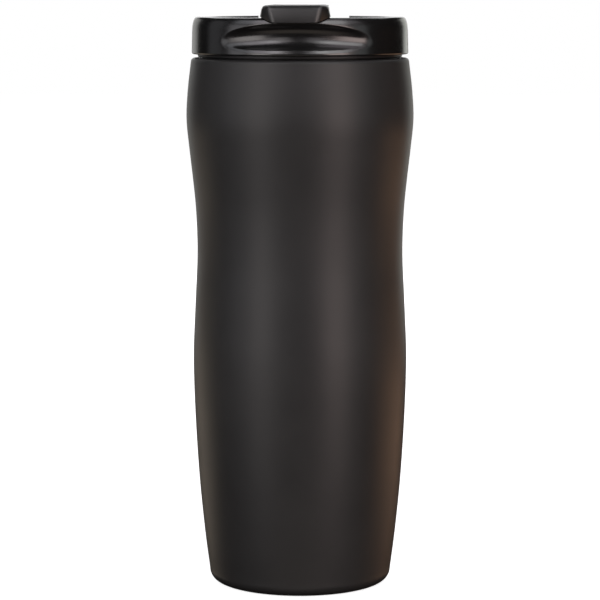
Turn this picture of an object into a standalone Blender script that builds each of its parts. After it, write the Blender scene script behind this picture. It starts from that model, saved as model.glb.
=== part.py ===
"""Insulated steel tumbler with a press-in lid and a flip lever.

Units are metres, +Z is up and the drinking side faces -Y. The origin is the centre of the foot.
The tumbler is one body, the lid lifts straight up out of its mouth, and the lever swings about
a pin that crosses the middle of the lid.
"""

import math

import bmesh
import bpy
from mathutils import Matrix, Vector

MM = 0.001

# Driving dimensions, in millimetres.
STEPS = 48  # facets round a large turned piece
SMALL_STEPS = 24  # facets round a small one
GAP = 0.3  # between pieces that touch

BODY_TOP = 181.3
FOOT_RADIUS = 27.4  # outer edge of the flat foot ring
FOOT_INNER_RADIUS = 24.8
FOOT_CORNER = 4.0
SHELL_WALL = 0.6
LIP_CORNER = 1.3
LIP_INNER_RADIUS = 35.0
# Height and outer radius of the waisted wall: foot, belly, waist, shoulder and lip.
WALL_STATIONS = [
    (4.0, 31.4),
    (16.0, 32.95),
    (34.0, 34.75),
    (56.0, 36.15),
    (78.0, 36.8),
    (96.0, 36.15),
    (115.0, 35.35),
    (132.0, 35.95),
    (146.0, 37.45),
    (161.0, 38.9),
    (171.0, 38.35),
    (180.0, 37.3),
]
WALL_STEPS = 18

LINER_WALL = 0.5
MOUTH_RADIUS = 34.0  # inside the steel cup, where the lid's seal runs
CUP_FLOOR = 8.6
CUP_CORNER = 7.0
CUP_TOP_RADIUS = 32.4
CUP_BOTTOM_RADIUS = 30.0
STEP_TOP, STEP_BOTTOM = 165.0, 157.0  # where the mouth narrows to the cup

COLLAR_INNER_RADIUS = 24.0
COLLAR_TOP = 4.2
BASE_RADIUS = COLLAR_INNER_RADIUS - GAP

LID_BOTTOM = 182.3
LID_TOP = 195.2
LID_RADIUS = 36.75
LID_DRAFT = 0.15
LID_SHOULDER = 4.0
LID_EDGE = 0.8
DECK_TOP = 192.2
DECK_RADIUS = 29.4
RIM_INNER_RADIUS = 31.4
SEAT_RADIUS = 34.9  # flange of the core, which rests on the lip of the mouth
SEAT_BOTTOM = BODY_TOP + GAP
SEAT_TOP = 183.6
POCKET_RADIUS = 30.4
POCKET_TOP = 187.2

PLUG_RADIUS = 33.0
PLUG_BOTTOM = 168.0
CORE_CAVITY_RADIUS = 28.0
CORE_FLOOR = 2.2
GROOVE_RADIUS = 31.4
GROOVE_BOTTOM, GROOVE_TOP = 172.4, 178.0
SEAL_RADIUS = MOUTH_RADIUS - GAP

SCOOP_SWEEP_RADIUS = 57.0  # flatter than the lid, so the scoop runs out to two points
SCOOP_RADIUS = 5.3
SCOOP_STANDOFF = 1.75  # how far the ring's centre line stands in front of the lid
SCOOP_HEIGHT = 188.65
SCOOP_TILT = 11.2  # degrees, its two points lie lower than its middle

HINGE_HEIGHT = 195.0
PIN_RADIUS = 1.2
PIN_BORE = 1.35
PIN_HALF_LENGTH = 9.6
BLOCK_HALF_WIDTH = 6.8
BLOCK_RADIUS = 3.6

LEVER_HALF_WIDTH = 11.7  # where the tip begins; the sides draw in towards the hinge
LEVER_REAR_HALF_WIDTH = 10.0
LEVER_TOP = 199.4
LEVER_BOTTOM = 191.0
LEVER_EDGE = 1.3
LEVER_TIP = 38.5
LEVER_TIP_BOTTOM = 193.75
LEVER_TIP_HALF_WIDTH = 7.7
LEVER_TIP_LEAN = 1.0  # how far the top of the tip leans back
LEVER_TAPER_START = 33.4
LEVER_DEEP_FRONT = 30.2  # the deep part of the lever ends here, and the tip bridges the rim
BARREL_RADIUS = 4.2
POCKET_HALF_WIDTH = 9.6
POCKET_REAR_HALF_WIDTH = 8.2
POCKET_FRONT = 28.9
POCKET_BACK = 5.6
LEVER_ROOF = 197.2

CHANNEL_HALF_WIDTH = 12.2
CHANNEL_FLOOR = 190.2
CHANNEL_FRONT = 30.6
NOTCH_HALF_WIDTH = 16.0
NOTCH_START = 24.0

DRINK_Y = -23.0
DRINK_HALF = (7.5, 3.8)  # half length along X and half width along Y
VENT_Y = -10.0
VENT_RADIUS = 1.4


def clear_scene():
    for item in list(bpy.data.objects):
        bpy.data.objects.remove(item, do_unlink=True)


def finish(name, colour, roughness, metallic):
    """A plain Principled material for one piece."""
    material = bpy.data.materials.new(name)
    material.use_nodes = True
    shader = material.node_tree.nodes["Principled BSDF"]
    shader.inputs["Base Color"].default_value = (*colour, 1.0)
    shader.inputs["Roughness"].default_value = roughness
    shader.inputs["Metallic"].default_value = metallic
    return material


def add_object(name, mesh_data, parent=None):
    """Closes a bmesh into an object whose mesh is in metres."""
    bmesh.ops.remove_doubles(mesh_data, verts=mesh_data.verts, dist=1e-5)
    bmesh.ops.recalc_face_normals(mesh_data, faces=mesh_data.faces)
    bmesh.ops.scale(mesh_data, vec=(MM, MM, MM), verts=mesh_data.verts)
    mesh = bpy.data.meshes.new(name)
    mesh_data.to_mesh(mesh)
    mesh_data.free()
    mesh.shade_smooth()
    mesh.set_sharp_from_angle(angle=math.radians(32))
    item = bpy.data.objects.new(name, mesh)
    bpy.context.collection.objects.link(item)
    item.parent = parent
    if parent:
        item.matrix_parent_inverse = parent.matrix_world.inverted()
    return item


def arc(centre, radius, start, end, count):
    """Points along a round stretch of an outline; the angles are in degrees."""
    angles = [math.radians(start + (end - start) * i / count) for i in range(count + 1)]
    return [(centre[0] + radius * math.cos(a), centre[1] + radius * math.sin(a)) for a in angles]


def turned(outline, steps=STEPS):
    """Revolves a closed outline of (radius, height) points about Z."""
    shape = bmesh.new()
    verts = [shape.verts.new((r, 0, z)) for r, z in outline]
    edges = []
    for first, second in zip(verts, verts[1:] + verts[:1]):
        if first.co.x > 0 or second.co.x > 0:
            edges.append(shape.edges.new((first, second)))
    bmesh.ops.spin(shape, geom=verts + edges, axis=(0, 0, 1), cent=(0, 0, 0),
                   angle=2 * math.pi, steps=steps, use_merge=True)
    return shape


def prism(outline, low, high):
    """Extrudes an outline of (x, y) points from one height to another."""
    shape = bmesh.new()
    face = shape.faces.new([shape.verts.new((x, y, low)) for x, y in outline])
    raised = bmesh.ops.extrude_face_region(shape, geom=[face])["geom"]
    tops = [v for v in raised if isinstance(v, bmesh.types.BMVert)]
    bmesh.ops.translate(shape, verts=tops, vec=(0, 0, high - low))
    return shape


def box(low, high):
    corners = [(low[0], low[1]), (high[0], low[1]), (high[0], high[1]), (low[0], high[1])]
    return prism(corners, low[2], high[2])


def oval(centre_y, half, low, high, steps=SMALL_STEPS):
    """A post with an oval plan, standing on the lid's centre line."""
    turns = [2 * math.pi * i / steps for i in range(steps)]
    plan = [(half[0] * math.cos(a), centre_y + half[1] * math.sin(a)) for a in turns]
    return prism(plan, low, high)


def rod_along_x(centre, radius, half_length, steps=SMALL_STEPS):
    turns = [2 * math.pi * i / steps for i in range(steps)]
    shape = prism([(radius * math.cos(a), radius * math.sin(a)) for a in turns],
                  -half_length, half_length)
    turn = Matrix.Translation(Vector(centre)) @ Matrix.Rotation(math.pi / 2, 4, "Y")
    bmesh.ops.transform(shape, matrix=turn, verts=shape.verts)
    return shape


def combine(target, shape, operation, label):
    """Adds a hidden helper solid and a Boolean that cuts or joins it."""
    helper = add_object(f"{target.name}_{label}", shape, target.parent)
    helper.hide_render = True
    helper.display_type = "WIRE"
    boolean = target.modifiers.new(label, "BOOLEAN")
    boolean.operation = operation
    boolean.solver = "EXACT"
    boolean.object = helper


def cut(target, shape, label):
    combine(target, shape, "DIFFERENCE", label)


def join(target, shape, label):
    combine(target, shape, "UNION", label)


def wall_radius(height):
    """Outer radius of the wall: a smooth curve through the stations."""
    stations = WALL_STATIONS
    last = len(stations) - 1
    index = max(i for i in range(last) if stations[i][0] <= height or i == 0)
    before = stations[max(index - 1, 0)]
    start, end = stations[index], stations[index + 1]
    after = stations[min(index + 2, last)]
    span = end[0] - start[0]
    slope_start = (end[1] - before[1]) / (end[0] - before[0])
    slope_end = (after[1] - start[1]) / (after[0] - start[0])
    t = (height - start[0]) / span
    return ((2 * t**3 - 3 * t**2 + 1) * start[1] + (t**3 - 2 * t**2 + t) * span * slope_start
            + (3 * t**2 - 2 * t**3) * end[1] + (t**3 - t**2) * span * slope_end)


def wall_points(low, high, inset=0.0, count=WALL_STEPS):
    heights = [low + (high - low) * i / count for i in range(count + 1)]
    return [(wall_radius(z) - inset, z) for z in heights]


def make_outer_shell():
    """The painted wall: a thin waisted tube, rolled in at the lip and turned in at the foot."""
    wall_low, wall_high = FOOT_CORNER, BODY_TOP - LIP_CORNER
    corner_x = wall_radius(wall_low) - FOOT_CORNER
    lip_x = wall_radius(wall_high) - LIP_CORNER
    outline = arc((corner_x, FOOT_CORNER), FOOT_CORNER, -90, 0, 5)
    outline += wall_points(wall_low, wall_high)[1:]
    outline += arc((lip_x, wall_high), LIP_CORNER, 0, 90, 3)[1:]
    outline += [(LIP_INNER_RADIUS, BODY_TOP), (LIP_INNER_RADIUS, BODY_TOP - SHELL_WALL)]
    outline += [(lip_x, BODY_TOP - SHELL_WALL)]
    outline += wall_points(wall_high, wall_low, SHELL_WALL, WALL_STEPS // 2)
    inner_corner = FOOT_CORNER - SHELL_WALL
    outline += arc((corner_x, FOOT_CORNER), inner_corner, 0, -90, 3)[1:]
    outline += [(FOOT_INNER_RADIUS, SHELL_WALL), (FOOT_INNER_RADIUS, COLLAR_TOP)]
    outline += [(COLLAR_INNER_RADIUS, COLLAR_TOP), (COLLAR_INNER_RADIUS, 0.6)]
    outline += [(COLLAR_INNER_RADIUS + 0.6, 0.0)]
    shell = add_object("outer_shell", turned(outline))
    shell.data.materials.append(finish("powder_coat", (0.03, 0.03, 0.031), 0.5, 0.0))


def make_inner_liner():
    """The drawn steel cup: a straight mouth for the lid, a step, and a slightly tapered cup."""
    corner_x = CUP_BOTTOM_RADIUS - CUP_CORNER
    corner_z = CUP_FLOOR + CUP_CORNER
    thick = LINER_WALL
    step_middle = (STEP_TOP + STEP_BOTTOM) / 2
    inside = [(0, CUP_FLOOR)] + arc((corner_x, corner_z), CUP_CORNER, -90, 0, 5)
    inside += [(CUP_TOP_RADIUS - 0.1, STEP_BOTTOM - 3), (CUP_TOP_RADIUS + 0.2, STEP_BOTTOM)]
    inside += [((CUP_TOP_RADIUS + MOUTH_RADIUS) / 2, step_middle), (MOUTH_RADIUS - 0.2, STEP_TOP)]
    inside += [(MOUTH_RADIUS, STEP_TOP + 3), (MOUTH_RADIUS, BODY_TOP - 0.3)]
    outline = inside + [(MOUTH_RADIUS + 0.2, BODY_TOP), (MOUTH_RADIUS + thick, BODY_TOP)]
    outline += [(MOUTH_RADIUS + thick, STEP_TOP + 3), (MOUTH_RADIUS + thick - 0.2, STEP_TOP)]
    outline += [((CUP_TOP_RADIUS + MOUTH_RADIUS) / 2 + thick, step_middle)]
    outline += [(CUP_TOP_RADIUS + thick + 0.2, STEP_BOTTOM)]
    outline += [(CUP_TOP_RADIUS + thick - 0.1, STEP_BOTTOM - 3)]
    outline += arc((corner_x, corner_z), CUP_CORNER + thick, 0, -90, 5)
    outline += [(0, CUP_FLOOR - thick)]
    liner = add_object("inner_liner", turned(outline))
    liner.data.materials.append(finish("brushed_steel", (0.55, 0.55, 0.56), 0.3, 1.0))


def make_base():
    """What closes the double wall: a dished disc with its sealed port, a getter and a cover."""
    steel = finish("base_steel", (0.5, 0.5, 0.51), 0.35, 1.0)
    disc = [(1.0, 4.3), (4.6, 4.3), (6.0, 3.1), (BASE_RADIUS, 3.1), (BASE_RADIUS, 3.9),
            (6.4, 3.9), (5.0, 5.1), (1.0, 5.1)]
    add_object("outer_base", turned(disc)).data.materials.append(steel)

    seal = [(0, 3.2), (2.0, 3.3), (2.6, 3.6), (2.4, 4.0), (0.7, 4.0), (0.7, 5.3), (0, 5.4)]
    bead = add_object("evacuation_seal", turned(seal, SMALL_STEPS))
    bead.data.materials.append(finish("solder", (0.6, 0.6, 0.58), 0.4, 1.0))

    pill = turned([(0, 5.0), (4.6, 5.0), (5.0, 5.4), (5.0, 7.2), (4.6, 7.6), (0, 7.6)], SMALL_STEPS)
    bmesh.ops.translate(pill, verts=pill.verts, vec=(14.0, 0, 0))
    getter = add_object("getter_puck", pill)
    getter.data.materials.append(finish("getter", (0.18, 0.18, 0.19), 0.7, 0.6))

    cover = [(0, 1.5), (8.0, 1.5), (8.8, 1.0), (21.6, 1.0), (BASE_RADIUS, 1.4),
             (BASE_RADIUS, 2.8), (22.8, 2.8), (22.0, 2.0), (9.2, 2.0), (8.4, 2.4), (0, 2.4)]
    plate = add_object("base_cover", turned(cover))
    plate.data.materials.append(finish("brushed_base", (0.52, 0.52, 0.53), 0.3, 1.0))


def scoop_cutter():
    """A ring swept on a flatter arc than the lid's side, tipped so that its ends drop."""
    ring = turned(arc((SCOOP_SWEEP_RADIUS, 0), SCOOP_RADIUS, 360, 18, 19), 2 * STEPS)
    place = (Matrix.Translation((0, -LID_RADIUS - SCOOP_STANDOFF, SCOOP_HEIGHT))
             @ Matrix.Rotation(math.radians(-SCOOP_TILT), 4, "X")
             @ Matrix.Translation((0, SCOOP_SWEEP_RADIUS, 0)))
    bmesh.ops.transform(ring, matrix=place, verts=ring.verts)
    return ring


def make_lid_cap(lid):
    """The glossy cover: a rimmed deck with the lever's channel, the scoop and the two holes."""
    shoulder_x = LID_RADIUS - LID_DRAFT - LID_SHOULDER
    outline = [(0, DECK_TOP), (DECK_RADIUS, DECK_TOP), (DECK_RADIUS + 0.9, DECK_TOP + 0.7)]
    outline += [(RIM_INNER_RADIUS - 0.4, LID_TOP - 0.4), (RIM_INNER_RADIUS, LID_TOP)]
    outline += arc((shoulder_x, LID_TOP - LID_SHOULDER), LID_SHOULDER, 90, 0, 6)
    outline += arc((LID_RADIUS - LID_EDGE, LID_BOTTOM + LID_EDGE), LID_EDGE, 0, -90, 3)
    seat = SEAT_RADIUS + GAP
    outline += [(seat, LID_BOTTOM), (seat, SEAT_TOP + GAP), (POCKET_RADIUS, SEAT_TOP + GAP)]
    outline += [(POCKET_RADIUS, POCKET_TOP), (0, POCKET_TOP)]
    cap = add_object("lid_cap", turned(outline), lid)
    cap.data.materials.append(finish("gloss_black", (0.012, 0.012, 0.013), 0.22, 0.0))

    above = LID_TOP + 5
    cut(cap, box((-CHANNEL_HALF_WIDTH, -CHANNEL_FRONT, CHANNEL_FLOOR),
                 (CHANNEL_HALF_WIDTH, LID_RADIUS + 5, above)), "channel")
    cut(cap, box((-NOTCH_HALF_WIDTH, NOTCH_START, CHANNEL_FLOOR),
                 (NOTCH_HALF_WIDTH, LID_RADIUS + 5, above)), "notch")
    cut(cap, scoop_cutter(), "scoop")
    cut(cap, oval(DRINK_Y, DRINK_HALF, POCKET_TOP - 2, above), "drink_opening")
    cut(cap, oval(VENT_Y, (VENT_RADIUS, VENT_RADIUS), POCKET_TOP - 2, above, 16), "vent")

    side = arc((0, HINGE_HEIGHT), BLOCK_RADIUS, 0, 180, 8)
    side += [(-BLOCK_RADIUS, CHANNEL_FLOOR - 1), (BLOCK_RADIUS, CHANNEL_FLOOR - 1)]
    block = prism(side, -BLOCK_HALF_WIDTH, BLOCK_HALF_WIDTH)
    upright = Matrix(((0, 0, 1, 0), (1, 0, 0, 0), (0, 1, 0, 0), (0, 0, 0, 1)))
    bmesh.ops.transform(block, matrix=upright, verts=block.verts)
    join(cap, block, "hinge_block")
    cut(cap, rod_along_x((0, 0, HINGE_HEIGHT), PIN_BORE, BLOCK_HALF_WIDTH + 2), "pin_bore")


def make_lid_core(lid):
    """The plug: a cup that carries the seal and the two passages, and rests on the mouth's lip."""
    top = POCKET_TOP - GAP
    outline = [(0, PLUG_BOTTOM)] + arc((PLUG_RADIUS - 2, PLUG_BOTTOM + 2), 2.0, -90, 0, 3)
    outline += [(PLUG_RADIUS, GROOVE_BOTTOM), (GROOVE_RADIUS, GROOVE_BOTTOM)]
    outline += [(GROOVE_RADIUS, GROOVE_TOP), (PLUG_RADIUS, GROOVE_TOP), (PLUG_RADIUS, SEAT_BOTTOM)]
    outline += [(SEAT_RADIUS, SEAT_BOTTOM), (SEAT_RADIUS, SEAT_TOP)]
    outline += [(POCKET_RADIUS - GAP, SEAT_TOP), (POCKET_RADIUS - GAP, top)]
    outline += [(CORE_CAVITY_RADIUS, top), (CORE_CAVITY_RADIUS, PLUG_BOTTOM + CORE_FLOOR)]
    outline += [(0, PLUG_BOTTOM + CORE_FLOOR)]
    core = add_object("lid_core", turned(outline), lid)
    core.data.materials.append(finish("matte_black", (0.015, 0.015, 0.016), 0.5, 0.0))
    wall = 1.6
    below = PLUG_BOTTOM - 2
    join(core, oval(DRINK_Y, (DRINK_HALF[0] + wall, DRINK_HALF[1] + wall),
                    PLUG_BOTTOM + 0.5, top), "drink_tube")
    join(core, oval(VENT_Y, (VENT_RADIUS + wall, VENT_RADIUS + wall),
                    PLUG_BOTTOM + 0.5, top, 16), "vent_tube")
    cut(core, oval(DRINK_Y, DRINK_HALF, below, top + 2), "drink_way")
    cut(core, oval(VENT_Y, (VENT_RADIUS, VENT_RADIUS), below, top + 2, 16), "vent_way")

    low, high = PLUG_BOTTOM + CORE_FLOOR + GAP, top - GAP
    radius = CORE_CAVITY_RADIUS - GAP
    foam = add_object("lid_insulation", turned([(0, low), (radius, low), (radius, high), (0, high)]),
                      lid)
    foam.data.materials.append(finish("foam", (0.8, 0.8, 0.78), 0.9, 0.0))
    clear = wall + GAP
    cut(foam, oval(DRINK_Y, (DRINK_HALF[0] + clear, DRINK_HALF[1] + clear), low - 2, high + 2),
        "drink_clearance")
    cut(foam, oval(VENT_Y, (VENT_RADIUS + clear, VENT_RADIUS + clear), low - 2, high + 2, 16),
        "vent_clearance")


def make_lid_seal(lid):
    """A silicone ring in the plug's groove, with two lips that wipe the mouth."""
    inner = GROOVE_RADIUS + GAP
    low, high = GROOVE_BOTTOM + GAP, GROOVE_TOP - GAP
    waist = PLUG_RADIUS - 0.2
    outline = [(inner, low), (waist, low), (waist, low + 0.3), (SEAL_RADIUS, low + 1.2)]
    outline += [(SEAL_RADIUS, low + 1.7), (waist, low + 1.9), (waist, low + 2.5)]
    outline += [(SEAL_RADIUS, low + 3.4), (SEAL_RADIUS, low + 3.9), (waist, low + 4.1)]
    outline += [(waist, high), (inner, high)]
    ring = add_object("lid_seal", turned(outline), lid)
    ring.data.materials.append(finish("silicone", (0.05, 0.05, 0.052), 0.6, 0.0))


def make_hinge_pin(lid):
    pin = add_object("hinge_pin", rod_along_x((0, 0, HINGE_HEIGHT), PIN_RADIUS, PIN_HALF_LENGTH), lid)
    pin.data.materials.append(finish("pin_steel", (0.6, 0.6, 0.61), 0.3, 1.0))


def round_edges(shape, chosen, width, segments):
    """Bevels the edges whose middle the test picks out."""
    edges = [e for e in shape.edges if chosen((e.verts[0].co + e.verts[1].co) / 2)]
    bmesh.ops.bevel(shape, geom=edges, offset=width, segments=segments, affect="EDGES", profile=0.5)


def lid_envelope(clearance):
    """The space that the lid's rim and shoulder take up, and a little more."""
    shoulder_x = LID_RADIUS - LID_SHOULDER
    outline = [(0, LID_TOP + clearance)]
    outline += arc((shoulder_x, LID_TOP - LID_SHOULDER), LID_SHOULDER + clearance, 90, 0, 8)
    outline += [(LID_RADIUS + clearance, LID_BOTTOM), (0, LID_BOTTOM)]
    return turned(outline, 2 * STEPS)


def wedge_plan(front_half, front_y, rear_half, rear_y):
    """A plan that is wider at its front than at its rear."""
    return [(-rear_half, rear_y), (-front_half, front_y), (front_half, front_y), (rear_half, rear_y)]


def make_flip_lever(hinge):
    """The thick lever: hollow underneath, forked round the hinge block, with a hooked tip."""
    plan = wedge_plan(LEVER_HALF_WIDTH, -LEVER_TAPER_START, LEVER_REAR_HALF_WIDTH, 0)
    plan[2:2] = [(-LEVER_TIP_HALF_WIDTH, -LEVER_TIP), (LEVER_TIP_HALF_WIDTH, -LEVER_TIP)]
    plate = prism(plan, LEVER_TIP_BOTTOM, LEVER_TOP)
    flare = (LEVER_HALF_WIDTH - LEVER_TIP_HALF_WIDTH) / (LEVER_TIP - LEVER_TAPER_START)
    for vert in plate.verts:
        if vert.co.z > LEVER_TOP - 0.1 and vert.co.y < -LEVER_TIP + 0.1:
            vert.co.y += LEVER_TIP_LEAN
            vert.co.x += math.copysign(LEVER_TIP_LEAN * flare, vert.co.x)
    round_edges(plate, lambda p: p.z > LEVER_TOP - 0.1 and p.y < -1, LEVER_EDGE, 3)
    lever = add_object("flip_lever", plate, hinge)
    lever.data.materials.append(finish("lever_black", (0.02, 0.02, 0.021), 0.28, 0.0))
    cut(lever, lid_envelope(GAP + 0.05), "rim_clearance")
    share = LEVER_DEEP_FRONT / LEVER_TAPER_START
    deep_half = LEVER_REAR_HALF_WIDTH + (LEVER_HALF_WIDTH - LEVER_REAR_HALF_WIDTH) * share - 0.2
    rear_half = LEVER_REAR_HALF_WIDTH - 0.2
    deep_plan = wedge_plan(deep_half, -LEVER_DEEP_FRONT, rear_half, 0.5)
    join(lever, prism(deep_plan, LEVER_BOTTOM, LID_TOP + 1), "deep_part")
    join(lever, rod_along_x((0, 0, HINGE_HEIGHT), BARREL_RADIUS, rear_half - 0.1), "barrel")
    pocket_plan = wedge_plan(POCKET_HALF_WIDTH, -POCKET_FRONT, POCKET_REAR_HALF_WIDTH, -POCKET_BACK + 0.5)
    cut(lever, prism(pocket_plan, LEVER_BOTTOM - 2, LEVER_ROOF), "pocket")
    slot = BLOCK_HALF_WIDTH + GAP
    cut(lever, box((-slot, -POCKET_BACK, LEVER_BOTTOM - 2),
                   (slot, BARREL_RADIUS + 2, LEVER_TOP + 2)), "fork")
    cut(lever, rod_along_x((0, 0, HINGE_HEIGHT), PIN_BORE, LEVER_HALF_WIDTH + 2), "pin_bore")


def make_lever_seals(hinge):
    """Under the lever: a carrier plate and the two silicone plugs that it presses down."""
    plate_low, plate_top = 195.0, LEVER_ROOF - GAP
    stub_low = 192.4
    plate_plan = wedge_plan(POCKET_HALF_WIDTH - GAP, -POCKET_FRONT + GAP, POCKET_REAR_HALF_WIDTH - GAP, -6.4)
    holder = add_object("seal_holder", prism(plate_plan, plate_low, plate_top), hinge)
    holder.data.materials.append(finish("holder_grey", (0.06, 0.06, 0.062), 0.45, 0.0))
    join(holder, oval(DRINK_Y, (8.2, 4.8), stub_low, plate_low + 0.5), "drink_stub")
    join(holder, oval(VENT_Y, (2.2, 2.2), stub_low, plate_low + 0.5, 16), "vent_stub")

    seal_low, seal_top = CHANNEL_FLOOR + GAP, stub_low - GAP
    rubber = finish("seal_grey", (0.09, 0.09, 0.095), 0.6, 0.0)
    drink = add_object("drink_seal", oval(DRINK_Y, (9.0, 5.3), seal_low, seal_top), hinge)
    drink.data.materials.append(rubber)
    join(drink, oval(DRINK_Y, (6.8, 3.1), seal_low - 1.8, seal_low + 0.4), "drink_plug")
    vent = add_object("vent_seal", oval(VENT_Y, (2.6, 2.6), seal_low, seal_top, 16), hinge)
    vent.data.materials.append(rubber)
    join(vent, oval(VENT_Y, (0.9, 0.9), seal_low - 1.0, seal_low + 0.4, 16), "vent_plug")


def add_pivot(name, location, parent=None):
    """An empty on a joint's axis, which the joint's pieces hang from."""
    pivot = bpy.data.objects.new(name, None)
    bpy.context.collection.objects.link(pivot)
    pivot.location = Vector(location) * MM
    pivot.parent = parent
    if parent:
        pivot.matrix_parent_inverse = parent.matrix_world.inverted()
    bpy.context.view_layer.update()
    return pivot


def main():
    clear_scene()
    make_outer_shell()
    make_inner_liner()
    make_base()
    lid = add_pivot("lid_pivot", (0, 0, LID_BOTTOM))
    make_lid_cap(lid)
    make_lid_core(lid)
    make_lid_seal(lid)
    make_hinge_pin(lid)
    hinge = add_pivot("lever_pivot", (0, 0, HINGE_HEIGHT), lid)
    make_flip_lever(hinge)
    make_lever_seals(hinge)


main()
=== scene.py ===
import math

import bpy
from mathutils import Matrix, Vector


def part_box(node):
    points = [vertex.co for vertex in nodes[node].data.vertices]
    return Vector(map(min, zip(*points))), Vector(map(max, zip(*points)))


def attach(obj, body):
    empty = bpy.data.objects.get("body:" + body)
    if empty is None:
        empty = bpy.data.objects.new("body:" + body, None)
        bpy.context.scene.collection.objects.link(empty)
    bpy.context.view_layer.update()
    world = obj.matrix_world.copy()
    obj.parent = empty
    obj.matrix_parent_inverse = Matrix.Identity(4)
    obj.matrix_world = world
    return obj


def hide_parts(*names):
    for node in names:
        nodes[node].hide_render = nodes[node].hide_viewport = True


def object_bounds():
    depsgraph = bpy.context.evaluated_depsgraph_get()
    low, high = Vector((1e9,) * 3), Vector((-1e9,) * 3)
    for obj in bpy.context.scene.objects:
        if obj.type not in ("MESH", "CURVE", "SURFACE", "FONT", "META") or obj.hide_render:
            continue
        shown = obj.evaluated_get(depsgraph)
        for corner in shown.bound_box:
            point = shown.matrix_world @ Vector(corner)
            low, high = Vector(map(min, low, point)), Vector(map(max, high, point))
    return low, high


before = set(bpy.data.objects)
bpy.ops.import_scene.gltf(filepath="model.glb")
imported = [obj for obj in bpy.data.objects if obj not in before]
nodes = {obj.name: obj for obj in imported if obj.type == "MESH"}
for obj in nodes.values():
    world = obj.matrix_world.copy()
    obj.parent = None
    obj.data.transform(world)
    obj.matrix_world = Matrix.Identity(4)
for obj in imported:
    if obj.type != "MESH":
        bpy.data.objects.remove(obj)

# Looks of the waisted steel tumbler. Everything is in metres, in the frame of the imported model.
mm = 0.001
pole = 0.4 * mm  # radius of the small ring that a turned outline starts or ends on, which is capped
cadLow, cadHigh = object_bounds()
print("frame loaded:", len(nodes), "nodes")


# small helpers for working in edit mode

def deselectAll():
    if bpy.context.mode != "OBJECT":
        bpy.ops.object.mode_set(mode="OBJECT")
    bpy.ops.object.select_all(action="DESELECT")


def startEdit(piece, mode="VERT"):
    deselectAll()
    piece.select_set(True)
    bpy.context.view_layer.objects.active = piece
    bpy.ops.object.mode_set(mode="EDIT")
    bpy.ops.mesh.select_mode(type=mode)
    bpy.ops.mesh.select_all(action="DESELECT")


def endEdit():
    bpy.ops.object.mode_set(mode="OBJECT")


def pickVerts(piece, test):
    bpy.ops.mesh.select_all(action="DESELECT")
    bpy.ops.object.mode_set(mode="OBJECT")
    for vert in piece.data.vertices:
        vert.select = test(vert.co)
    bpy.ops.object.mode_set(mode="EDIT")


def pickEdges(piece, test):
    bpy.ops.mesh.select_all(action="DESELECT")
    bpy.ops.object.mode_set(mode="OBJECT")
    verts = piece.data.vertices
    for edge in piece.data.edges:
        a, b = (verts[i].co for i in edge.vertices)
        edge.select = test(a, b)
    bpy.ops.object.mode_set(mode="EDIT")


def applyPlace(piece):
    deselectAll()
    piece.select_set(True)
    bpy.context.view_layer.objects.active = piece
    bpy.ops.object.transform_apply(location=True, rotation=True, scale=True)


def applyModifiers(piece):
    deselectAll()
    piece.select_set(True)
    bpy.context.view_layer.objects.active = piece
    for modifier in list(piece.modifiers):
        bpy.ops.object.modifier_apply(modifier=modifier.name)


def tidyNormals(piece):
    startEdit(piece)
    bpy.ops.mesh.select_all(action="SELECT")
    bpy.ops.mesh.remove_doubles(threshold=0.002 * mm)
    bpy.ops.mesh.normals_make_consistent(inside=False)
    endEdit()


def smoothShade(piece, degrees=35):
    deselectAll()
    piece.select_set(True)
    bpy.context.view_layer.objects.active = piece
    bpy.ops.object.shade_smooth_by_angle(angle=math.radians(degrees))


def arcPoints(centreR, centreZ, radius, startAngle, endAngle, count):
    sweep = endAngle - startAngle
    angles = [math.radians(startAngle + sweep * i / count) for i in range(count + 1)]
    return [(centreR + radius * math.cos(a), centreZ + radius * math.sin(a)) for a in angles]


def linePoints(start, end, count):
    return [(start[0] + (end[0] - start[0]) * i / count, start[1] + (end[1] - start[1]) * i / count)
            for i in range(1, count + 1)]


# outline is (radius, height); ends is loop where its last ring meets its first, or caps
def turnPiece(name, outline, segments, ends="loop"):
    radius, height = outline[0]
    bpy.ops.mesh.primitive_circle_add(vertices=segments, radius=radius, location=(0, 0, height))
    piece = bpy.context.object
    piece.name = piece.data.name = name
    applyPlace(piece)
    startEdit(piece, "EDGE")
    bpy.ops.mesh.select_all(action="SELECT")
    for newRadius, newHeight in outline[1:]:
        rise = (0, 0, newHeight - height)
        bpy.ops.mesh.extrude_edges_move(TRANSFORM_OT_translate={"value": rise})
        grow = newRadius / radius
        bpy.ops.transform.resize(value=(grow, grow, 1), center_override=(0, 0, newHeight))
        radius, height = newRadius, newHeight
    if ends == "loop":
        bpy.ops.mesh.select_all(action="DESELECT")
        bpy.ops.mesh.select_non_manifold(extend=False)
        bpy.ops.mesh.bridge_edge_loops()
    else:
        bpy.ops.mesh.edge_face_add()
        bpy.ops.mesh.select_all(action="DESELECT")
        bpy.ops.mesh.select_non_manifold(extend=False)
        bpy.ops.mesh.edge_face_add()
    endEdit()
    tidyNormals(piece)
    return piece


def boxPiece(name, low, high):
    middle = [(a + b) / 2 for a, b in zip(low, high)]
    size = [b - a for a, b in zip(low, high)]
    bpy.ops.mesh.primitive_cube_add(size=1, location=middle, scale=size)
    piece = bpy.context.object
    piece.name = piece.data.name = name
    applyPlace(piece)
    return piece


# a block whose sides draw in from its front to its rear
def wedgePiece(name, frontHalf, frontY, rearHalf, rearY, low, high):
    piece = boxPiece(name, (-frontHalf, frontY, low), (frontHalf, rearY, high))
    startEdit(piece)
    pickVerts(piece, lambda co: co.y > (frontY + rearY) / 2)
    bpy.ops.transform.resize(value=(rearHalf / frontHalf, 1, 1), center_override=(0, 0, 0))
    endEdit()
    return piece


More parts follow.
